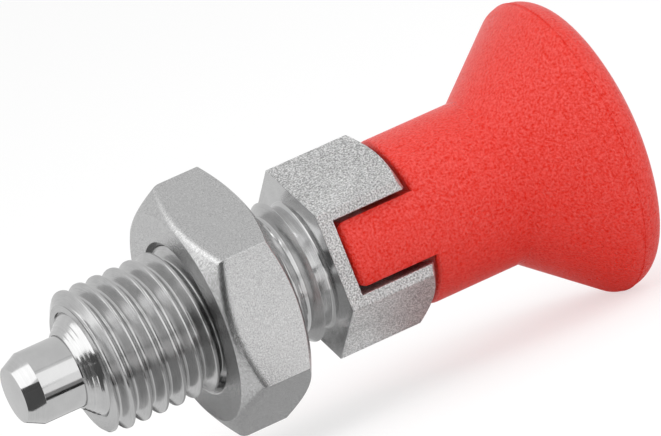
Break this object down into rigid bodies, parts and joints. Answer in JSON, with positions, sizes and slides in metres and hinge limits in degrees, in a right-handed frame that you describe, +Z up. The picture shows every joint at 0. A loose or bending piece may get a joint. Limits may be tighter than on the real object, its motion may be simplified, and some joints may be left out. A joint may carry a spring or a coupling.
{
  "type": "indexing plunger",
  "caption": "Spring-loaded indexing plunger: ground pin in a threaded shank with locknut, slotted hexagon collar and red mushroom grip that pulls the pin back.",
  "frame": {"origin": "on the plunger's axis, in the plane of the collar's front face, from which the threaded shank is measured", "axes": "X along the plunger's axis, with the pin pointing to -X and the grip to +X; the collar's slot runs along Y; Z up"},
  "size_m": [0.0546, 0.0249, 0.0248],
  "materials": {
    "body_steel": "fine blasted and turned steel",
    "bush_steel": "turned, hardened steel",
    "pin_steel": "ground, hardened steel",
    "spring_wire": "drawn stainless wire",
    "nut_steel": "milled and tumbled steel",
    "grip_plastic": "spark-eroded texture on red thermoplastic"
  },
  "bodies": {
    "housing": {"plunger_body": "body_steel", "guide_bush": "bush_steel"},
    "spring": {"pin_spring": "spring_wire"},
    "plunger": {"index_pin": "pin_steel", "grip": "grip_plastic"},
    "nut": {"locknut": "nut_steel"}
  },
  "joints": [
    {"name": "grip_turn", "type": "hinge", "parent": "housing", "child": "spring", "pos_m": [0, 0, 0], "axis": [1, 0, 0], "range_deg": [-3.5, 3.5]},
    {"name": "pin_pull", "type": "slide", "parent": "spring", "child": "plunger", "axis": [1, 0, 0], "range_m": [0, 0.0075], "stiffness_N_per_m": 1333, "springref_m": -0.0045, "deforming": ["pin_spring"]},
    {"name": "locknut_travel", "type": "slide", "parent": "housing", "child": "nut", "axis": [1, 0, 0], "range_m": [-0.0088, 0.0043]}
  ]
}
